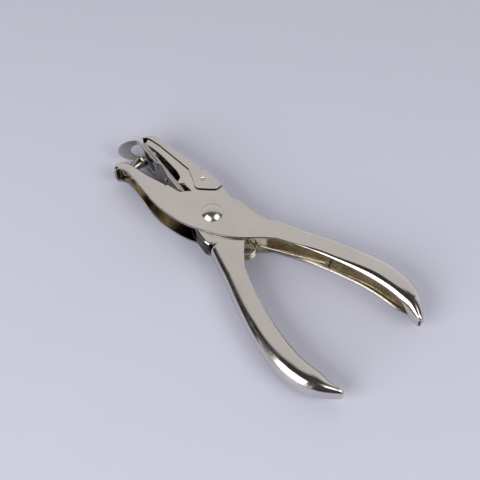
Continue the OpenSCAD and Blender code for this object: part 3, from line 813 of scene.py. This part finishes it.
# %% Die lever
die_lever = fold("die_lever_sheet", stations_b, SHEET, [lever_skin, inside, edge_skin])
die_lever.data.materials.append(painted_shade_steel.material)
OUTER_FACE, PAINTED_SHADE_FACE = 0, 3          # places in the piece's list of finishes
for face in die_lever.data.polygons:
    x, y = face.center.x / MM, face.center.y / MM
    on_bridge = -0.4 < x < 9.7 and y < -9.2 and abs(face.normal.z) < 0.45
    # painted shade on the bridge's outer faces
    if on_bridge and face.material_index == OUTER_FACE:
        face.material_index = PAINTED_SHADE_FACE
press_dots(die_lever, *GRIP_ZONE_B)
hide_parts("die_lever")
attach(die_lever, "die_side")

# %% [markdown]
# ## The chip cover
# A lighter sheet is folded over the back and the tip of the die jaw and holds the paper chips. Its back
# stops short of the hinge, so that it can swing out. The hinge is a dimple pressed in each flap: a ball
# tool is pushed into the sheet, which is what the Boolean with a sphere does here.

# %% Outline of the chip cover
COVER_PLAY, COVER_SHEET = 0.12, 0.6     # clearance over the jaw's cheeks, and gauge
COVER_HALF = HALF_B + COVER_PLAY + COVER_SHEET
cover_back = ruled([DIE_TIP + Vector(d) for d in ((-2.1, 1.7), (-1.5, 4.1), (0.9, 6.5), (7, 7))]
                   + [Vector((-25.5, 12.6)), Vector((-11.4, 13.4)), Vector((-6.8, 12.9))])
cover_rim = ([DIE_TIP + Vector(d) for d in ((-1.9, 1.8), (-0.7, 3.1), (0.7, 3.6), (5.7, 4.2))]
             + [Vector(p) for p in ((-22.8, 8.7), (-17.4, 6), (-15.2, 4.6), (-13.7, 4.3), (-12.4, 5),
                                    (-7.8, 9), (-7, 10.4))])
flap_start = Vector((-19.5, 7.05))
folded = dict(bend=0.95, bent=True, backed=True)
stations_c = (
    leg(cover_back[:13], cover_rim[:2], 8, COVER_HALF, curved=(False, False), **folded)
    + leg(cover_back[12:25], cover_rim[1:3], 8, COVER_HALF, curved=(False, False), **folded)
    + leg(cover_back[24:37], cover_rim[2:4], 12, COVER_HALF, curved=(False, False), **folded)
    + leg(cover_back[36:49], cover_rim[3:5], 24, COVER_HALF, curved=(False, False), **folded)
    + leg(cover_back[48:55], [cover_rim[4], flap_start], 8, COVER_HALF, curved=(False, False), **folded)
    + leg(cover_back[54:], ruled([flap_start] + cover_rim[5:]), 26, COVER_HALF, curved=(False, False)))
stations_c.append(station(cover_back[-1], cover_rim[-1], COVER_HALF))
print("chip cover:", len(stations_c), "stations")

# %% [markdown]
# The two ball tools stand off the flaps, so that each one only dips into its sheet. They are removed
# again, and the dimples that they leave are where the cover turns.

# %% Chip cover
HINGE_X, HINGE_Y = -15.0, 9.1
BALL_R, BALL_OUT = 1.35, 0.85           # radius of the ball tool, and its centre's height over the flap
# The cover's cut rim gets the nearly black finish: a painted shadow, the dark gap line between its edge
# and the cheek under it.
chip_cover = fold("chip_cover_sheet", stations_c, COVER_SHEET, [cover_skin, inside, painted_shade_steel], rim=0.1)
for side in (-1, 1):
    start_clean()
    bpy.ops.mesh.primitive_uv_sphere_add(segments=32, ring_count=16, radius=BALL_R * MM, location=(
        HINGE_X * MM, HINGE_Y * MM, (MID_Z + side * (COVER_HALF + BALL_OUT)) * MM))
    ball = named("ball_tool")
    modify(chip_cover, "BOOLEAN", operation="DIFFERENCE", object=ball, solver="EXACT")
    bpy.data.objects.remove(ball)
smooth_by(chip_cover, 35)
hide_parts("chip_cover")
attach(chip_cover, "cover")

# %% [markdown]
# ## The stripper
# A springy strip lies on the die plate, steps down to leave a slot for the paper, lets the punch
# through and ends in a broad round lip that guides the sheet in. It is symmetric, so half a blank is
# shaped and mirrored. Its half width comes from two simple rules: the outline, and the slot for the
# punch.

# %% Stripper outline and bend line
STRIP_START = 1.2                       # along the die face, as the next two are
STEP_S, BEND_S = HOLE_S - 9.35, DIE_END + 1.6
LIP_L, LIP_W, SLOT_W = 9.6, 14.2, 9.0
ROOT_HALF = 5.05                        # half the width where the strip is riveted on
SKIN = 0.3                              # half its gauge
DROP = 1.3                              # height of the strip's middle over the die face past the step
LIP_TILT = math.radians(61)


def outline(d):
    """Half the width of the strip at d along it."""
    if d < STEP_S + 1:
        return ROOT_HALF + (LIP_W / 2 - ROOT_HALF) * ease(d, STEP_S - 7, STEP_S + 1)
    far = d - (BEND_S + LIP_L - LIP_W / 2)
    return LIP_W / 2 if far < 0 else math.sqrt(max(0.0, (LIP_W / 2) ** 2 - far * far))


def slot(d):
    """Half the width of the slot there, with a round start."""
    near = min(1.0, max(0.0, (d - STEP_S - 2.4) / 1.5))
    return SLOT_W / 2 * math.sqrt(1 - (1 - near) ** 2)


def arc(centre, radius, count):
    """A quarter circle from the side towards the end of the strip."""
    angles = [k * math.pi / 2 / count for k in range(count + 1)]
    return [(centre + radius * math.sin(a), radius * math.cos(a)) for a in angles]


corners = [Vector((STRIP_START, -SKIN)), Vector((STEP_S - 1.1, -SKIN)), Vector((STEP_S + 0.1, -DROP)),
           Vector((BEND_S, -DROP)),
           Vector((BEND_S, -DROP)) + (LIP_L - 0.2) * Vector((math.cos(LIP_TILT), -math.sin(LIP_TILT)))]
bent_line = [corners[0]]
for before, corner, after, reach in zip(corners, corners[1:], corners[2:], (0.7, 0.7, 1.6)):
    a = corner + (before - corner).normalized() * reach
    b = corner + (after - corner).normalized() * reach
    bent_line += [(1 - t) ** 2 * a + 2 * t * (1 - t) * corner + t * t * b
                  for t in [k / 8 for k in range(9)]]
bent_line.append(corners[-1])
straight = ([STRIP_START + 0.8 * k for k in range(19)] + [STEP_S - 1.6 + 0.3 * k for k in range(13)]
            + [STEP_S + 2.4 + 1.5 * (1 - math.cos(k * math.pi / 12)) for k in range(1, 7)])
straight += [STEP_S + 3.9 + (BEND_S - STEP_S - 4.4) * k / 10 for k in range(1, 10)]
inner = [(d, slot(d)) for d in straight] + arc(BEND_S - 0.5, SLOT_W / 2, 24)
outer = [(d, outline(d)) for d in straight]
outer += [tuple(p) for p in paced([(BEND_S - 0.5, LIP_W / 2)]
                                  + arc(BEND_S + LIP_L - LIP_W / 2, LIP_W / 2, 40), 24)]
total = sum((b - a).length for a, b in zip(bent_line, bent_line[1:]))
print("stripper, laid flat:", round(total, 2), "by", LIP_W, "mm")

# %% [markdown]
# The half blank is a grid too, with rows along the strip and columns from the slot to the outline.
# Mirror makes the other half and joins the two in the middle, and Solidify gives both their gauge.

# %% Stripper sheet
ACROSS, FINE = 8, 800                   # columns of the half blank, and paces along the bent line
JOIN = 0.00002                          # points closer than this are one, in metres
fine = paced(bent_line, FINE)


def along_strip(d):
    """Where the bent line is at d along the flat strip."""
    share = (d - STRIP_START) / (BEND_S + LIP_L - STRIP_START)
    spot = fine[min(FINE, max(0, round(FINE * share)))]
    return on_die(spot.x, spot.y)


stripper = flat_grid("stripper_sheet", len(inner) - 1, ACROSS)
for v in stripper.data.vertices:
    row, share = round(v.co.x), round(v.co.y) / ACROSS
    d, z = Vector(inner[row]).lerp(Vector(outer[row]), share)
    spot = along_strip(d)
    v.co = (spot.x * MM, spot.y * MM, z * MM)
modify(stripper, "MIRROR", use_axis=(False, False, True), use_mirror_merge=True, merge_threshold=JOIN)
pick(stripper, lambda face: True)
bpy.ops.mesh.remove_doubles(threshold=JOIN)
bpy.ops.mesh.normals_make_consistent(inside=False)
bpy.ops.transform.translate(value=(0, 0, MID_Z * MM))
leave()
stripper.data.materials.append(strip_skin.material)
modify(stripper, "SOLIDIFY", thickness=2 * SKIN * MM, offset=0, use_even_offset=True)
break_edges(stripper, 0.12)
smooth_by(stripper, 35)
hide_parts("stripper_plate")
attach(stripper, "die_side")
print("stripper:", len(stripper.data.polygons), "faces")

# %% [markdown]
# ## Turned pieces
# The punch and the rivet come off a lathe. A circle is extruded upwards again and again, and each new
# ring is scaled to the radius that the piece has there. The last ring is closed to a point. A spin
# would turn the whole profile at once, but rings one by one are easier to follow and to change.

# %% Turned pieces
def turn_piece(name, profile, skin, segments=96):
    """profile: rings of (height, radius), in millimetres, from one end to the other."""
    start_clean()
    height, radius = profile[0]
    bpy.ops.mesh.primitive_circle_add(vertices=segments, radius=radius * MM, fill_type="TRIFAN",
                                      location=(0, 0, height * MM))
    piece = named(name)
    bpy.ops.object.transform_apply(location=True, rotation=True, scale=True)
    for (h0, r0), (h1, r1) in zip(profile, profile[1:]):
        if h0 == height:        # the first ring: only its rim is extruded, not the spokes inside it
            pick(piece, lambda edge: all(piece.data.vertices[v].co.xy.length > 0.99 * r0 * MM
                                         for v in edge.vertices), "EDGE")
        bpy.ops.mesh.extrude_region_move(TRANSFORM_OT_translate={"value": (0, 0, (h1 - h0) * MM)})
        bpy.ops.transform.resize(value=(r1 / r0, r1 / r0, 1), center_override=(0, 0, h1 * MM))
    bpy.ops.mesh.merge(type="CENTER")
    bpy.ops.mesh.select_all(action="SELECT")
    bpy.ops.mesh.normals_make_consistent(inside=False)
    leave()
    piece.data.materials.append(skin.material)
    smooth_by(piece, 30)
    print(name, "turned from", len(profile), "rings,", len(piece.data.polygons), "faces")
    return piece


# %% [markdown]
# The rivet's head is a shallow dome: part of a sphere 9 mm across and 2 mm high, with a small rounded
# shoulder where it meets the cheek. Its foot is the flat head that the tool rests on.

# %% Pivot rivet
FOOT_H, SHANK_R = 0.8, 2.5
DOME_H, DOME_HALF, DOME_EDGE = 2, 4.5, 4.42     # height, half width, and where the round shoulder ends
DOME_STEPS = 14
top = FOOT_H + 2 * HALF_A
dome_r = (DOME_HALF ** 2 + DOME_H ** 2) / (2 * DOME_H)
lean = math.asin(DOME_EDGE / dome_r)
slopes = [lean * (1 - k / DOME_STEPS) for k in range(DOME_STEPS)]
dome = [(top + DOME_H - dome_r + dome_r * math.cos(a), dome_r * math.sin(a)) for a in slopes]
rivet = turn_piece("rivet_head", [(0.0, 3.6), (0.06, 3.8), (0.3, 4.0), (0.72, 4.0), (FOOT_H, 3.9),
                                  (FOOT_H, SHANK_R), (top, SHANK_R), (top, 4.35), (top + 0.05, 4.45)]
                   + dome + [(top + DOME_H, 0.02)], dome_skin)
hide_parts("pivot_rivet")
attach(rivet, "punch_side")

# %% [markdown]
# The punch stands on the throat of its jaw and flares towards its cutting edge. It is turned upright at
# the origin, then laid over so that it points at the die. Its end is hollow ground, which leaves a
# sharp ring that cuts from the outside in.

# %% Punch
CUT_R = 3.2                             # half of a hole of 6.4 mm
stem = TIP_Y - BASE_Y
tail = [(-2.9, 0.5), (-2.85, 1.1), (-2.6, 1.8), (-2.2, 2.2), (-1.9, 2.28), (-1.88, 1.6), (-0.4, 1.6),
        (-0.35, 2.4)]
waist = [tuple(p) for p in ruled([(1.0, 2.1), (3.0, 2.2), (5.2, 2.75), (stem - 1.4, CUT_R)], 5)]
hollow = [(stem - 0.05, CUT_R), (stem, 3.14), (stem - 0.3, 2.5), (stem - 0.75, 1.0), (stem - 0.9, 0.02)]
punch = turn_piece("punch_turned", tail + waist + hollow, punch_steel)
for v in punch.data.vertices:
    x, y, z = v.co
    v.co = (x - PUNCH_X * MM, z + BASE_Y * MM, MID_Z * MM - y)
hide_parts("punch_pin")
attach(punch, "punch_side")

# %% [markdown]
# ## The return spring
# One wire: a leg that lies in the channel of a handle, three turns between the levers, and a second
# leg. Each leg ends in a hook that stands against the back of its handle. The wire is a curve with a
# round bevel, made a mesh at the end. Both halves are alike, so the second one is the first one turned
# over.

# %% The line of the wire
WIRE_R, COIL_R, COIL_X = 0.55, 4.25, 19.4
TURNS, TURN_STEPS, PITCH = 3, 84, 1.6   # full turns, points on the coil, and rise in a turn
LEG_L, LEG_DEG = 34, 27                 # length of each leg, and its angle to the middle line
HOOK_GAP, HOOK_BEND = 0.3, 1.1          # clearance to the sheet, and reach of the bend into the hook
LEAN = math.radians(LEG_DEG)
turned = math.radians(360 * TURNS + 180 - 2 * LEG_DEG)
climb = PITCH * math.degrees(turned) / 360
first = math.pi / 2 + LEAN


def coil_point(a):
    """The coil climbs evenly as it goes round, from the angle first on."""
    return Vector((COIL_X + COIL_R * math.cos(a), COIL_R * math.sin(a),
                   -climb / 2 + climb * (a - first) / turned))


coarse = ruled(HOOK_B, 6)
leg_way = Vector((math.cos(LEAN), math.sin(LEAN), 0))
leg_end = coil_point(first) + LEG_L * leg_way
lie = coarse[10] - coarse[8]
hook_way = Vector((-lie.y, lie.x, 0)).normalized()
hook = (Vector((coarse[9].x, coarse[9].y, leg_end.z)) - leg_end).dot(hook_way) - SHEET - HOOK_GAP
corner = [leg_end + HOOK_BEND * hook_way, leg_end, leg_end - HOOK_BEND * leg_way]
rounded = [(1 - t) ** 2 * corner[0] + 2 * t * (1 - t) * corner[1] + t * t * corner[2]
           for t in [k / 6 for k in range(7)]]
half_wire = [leg_end + hook * hook_way, leg_end + (hook - 0.4) * hook_way] + rounded
half_wire += [coil_point(first) + LEG_L * leg_way * (1 - k / 12) for k in range(1, 12)]
turns = [coil_point(first + turned * k / TURN_STEPS) for k in range(TURN_STEPS + 1)]
wire = half_wire + turns + [Vector((p.x, -p.y, -p.z)) for p in half_wire[::-1]]
print("spring:", len(wire), "points along the wire, hooks of", round(hook, 2), "mm")

# %% [markdown]
# The points of the line are strung on a curve, and its bevel is the wire.

# %% Return spring
start_clean()
bpy.ops.curve.primitive_nurbs_path_add()
spring = bpy.context.object
spring.name = "return_spring_wire"
curve = spring.data
curve.splines.clear()
strand = curve.splines.new("POLY")
strand.points.add(len(wire) - 1)
for point, p in zip(strand.points, wire):
    point.co = (p.x * MM, p.y * MM, (MID_Z + p.z) * MM, 1)
curve.bevel_depth = WIRE_R * MM
curve.bevel_resolution = 4
curve.use_fill_caps = True
curve.twist_mode = "MINIMUM"
only(spring)
bpy.ops.object.convert(target="MESH")
spring = named("return_spring_wire")
spring.data.materials.clear()
spring.data.materials.append(wire_steel.material)
smooth_by(spring, 40)
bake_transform(spring)
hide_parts("return_spring")
print("spring:", len(spring.data.polygons), "faces")

# %% [markdown]
# ## Pieces that stay as the CAD made them
# The die plate, its ring, the small rivets, the washer and the sleeve have the right shape already.
# They get the steel finishes in their own material slots.

# %% Finishes of the CAD nodes
for node, skin in (("die_plate", die_steel), ("die_ring", dark_steel), ("stripper_rivets", strip_skin),
                   ("punch_washer", dark_steel), ("pivot_sleeve", dark_steel)):
    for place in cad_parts[node].material_slots:
        place.material = skin.material
    print(node, "has the finish", skin.material.name)

# %% [markdown]
# ## Table, light and camera
# The floor is a pale lavender board, much wider than what the camera sees. It is nearly even, with
# broad patches that are hardly darker, as on a board that is painted matt.

# %% Floor
start_clean()
FLOOR = 6               # width in metres
bpy.ops.mesh.primitive_plane_add(size=FLOOR, location=(0, 0, 0))
floor = named("table")
board = Finish("pale_board", Roughness=0.55, Specular_IOR_Level=0.3)
grain = board.noise(0.02, detail=3.0)
board.plug("Base Color", board.blend(grain, (0.69, 0.72, 0.885), (0.71, 0.74, 0.905)))
floor.data.materials.append(board.material)
floor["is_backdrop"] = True
print("floor of", FLOOR, "m")

# %% [markdown]
# Metal shows what is round it, so the studio matters more than the lamps: a light backdrop behind the
# tool, which the flat cheeks mirror, two soft boxes to the left and the right of the camera, which give
# the white streaks on the round backs, and a dark ceiling for the black ones.

# %% Soft boxes
def soft_box(name, azimuth, from_zenith, width, height, power):
    """An area lamp a metre away, placed by its compass direction and its angle from overhead."""
    round_, down = math.radians(azimuth), math.radians(from_zenith)
    way = Vector((math.sin(down) * math.cos(round_), math.sin(down) * math.sin(round_), math.cos(down)))
    start_clean()
    bpy.ops.object.light_add(type="AREA", location=way)
    lamp = bpy.context.object
    lamp.name = name
    lamp.data.shape = "RECTANGLE"
    lamp.data.size, lamp.data.size_y = width, height
    lamp.data.energy = power
    lamp.data.color = (1.0, 0.96, 0.91)
    lamp.rotation_euler = (-way).to_track_quat("-Z", "Y").to_euler()
    print(name, "of", power, "W,", from_zenith, "degrees from overhead")


soft_box("soft_box_left", -92, 57, 0.85, 0.75, 7.2)
soft_box("soft_box_right", 11, 45, 0.60, 0.60, 3.4)

# %% [markdown]
# The world is painted by direction: a light wall behind the tool that ends short of overhead, and a
# dark ceiling from there on to the camera's side. It has no picture, only a few soft steps between
# greys.

# %% World
TO_CAMERA = Vector((0.6925, -0.7214, 0))        # on the compass, from the tool
SIDEWAYS = Vector((0.7214, 0.6925, 0))
world = bpy.data.worlds.new("studio")
bpy.context.scene.world = world
world.use_nodes = True


class Sky(Finish):
    """The same sums, on the nodes of a world."""

    def __init__(self, tree):
        self.tree = tree
        self.place = self.node("ShaderNodeTexCoord", outlet="Generated")


sky = Sky(world.node_tree)
parts = [sky.node("ShaderNodeSeparateXYZ", None, {"Vector": sky.place}, outlet=axis) for axis in "XYZ"]
towards = parts[0] * TO_CAMERA.x + parts[1] * TO_CAMERA.y
sideways = parts[0] * SIDEWAYS.x + parts[1] * SIDEWAYS.y
wall = towards.step(-0.20, -0.30)
low = parts[2].step(0.0, 0.5)
room = sky.blend(sideways.step(-0.5, 0.0), (0.012, 0.011, 0.010), (0.05, 0.048, 0.046))
shade = sky.blend(wall, room, sky.blend(low, (0.79, 0.78, 0.81), (0.66, 0.63, 0.61)))
background = world.node_tree.nodes["Background"]
world.node_tree.links.new(shade.socket, background.inputs["Color"])
background.inputs["Strength"].default_value = 1.0
print("studio:", len(world.node_tree.nodes), "nodes")

# %% [markdown]
# The camera looks down steeply from beside the open handles, as in the photograph. A long lens keeps
# the far end of the tool from shrinking. Its place was found by laying the model's outline over the
# photograph's.

# %% Camera
start_clean()
bpy.ops.object.camera_add(location=(0.1582, -0.1483, 0.3656))
camera = bpy.context.object
camera.name = "photo_camera"
aim = Vector((0.012, 0.004, 0.0)) - camera.location
camera.rotation_euler = aim.to_track_quat("-Z", "Y").to_euler()
camera.data.lens = 75
camera.data.sensor_width = 36
camera.data.clip_start = 0.01
bpy.context.scene.camera = camera
bpy.context.scene.view_settings.view_transform = "Standard"
print("camera", round(aim.length, 3), "m from its aim, lens", camera.data.lens)

# %% [markdown]
# ## Sizes and finish
# Dressing the tool must not change its size. The boxes of the frame and of the dressed tool are both
# written down, so that they can be compared.

# %% Write the sizes and finish
dressed_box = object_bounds()
plain = [[list(map(float, corner)) for corner in box] for box in (frame_box, dressed_box)]
print("frame box  ", [[round(1000 * x, 2) for x in c] for c in plain[0]])
print("dressed box", [[round(1000 * x, 2) for x in c] for c in plain[1]])
